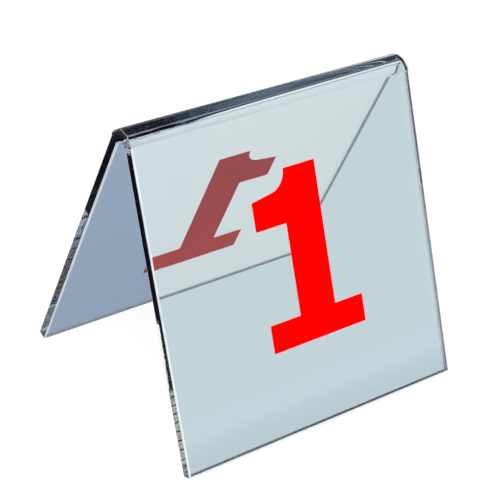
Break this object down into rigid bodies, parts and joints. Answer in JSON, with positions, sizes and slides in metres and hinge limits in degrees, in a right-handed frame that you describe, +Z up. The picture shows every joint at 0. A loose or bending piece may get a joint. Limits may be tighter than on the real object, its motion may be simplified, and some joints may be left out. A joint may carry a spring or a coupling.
{
  "type": "table number holder",
  "caption": "Free-standing clear acrylic A-frame table number, folded from one sheet with a rounded ridge, with a stick-on digit on each outer face.",
  "frame": {"origin": "middle of the footprint, on the surface that the legs stand on, under the middle of the ridge", "axes": "+X along the ridge, to the right of someone reading the front digit; +Z up; the front leg leans out towards -Y"},
  "size_m": [0.085, 0.071, 0.0796],
  "materials": {
    "clear_acrylic": "polished",
    "red_film": "gloss",
    "clear_adhesive": "satin"
  },
  "bodies": {
    "root": {"acrylic_tent": "clear_acrylic", "front_adhesive": "clear_adhesive", "front_number": "red_film", "rear_adhesive": "clear_adhesive", "rear_number": "red_film"}
  },
  "joints": []
}
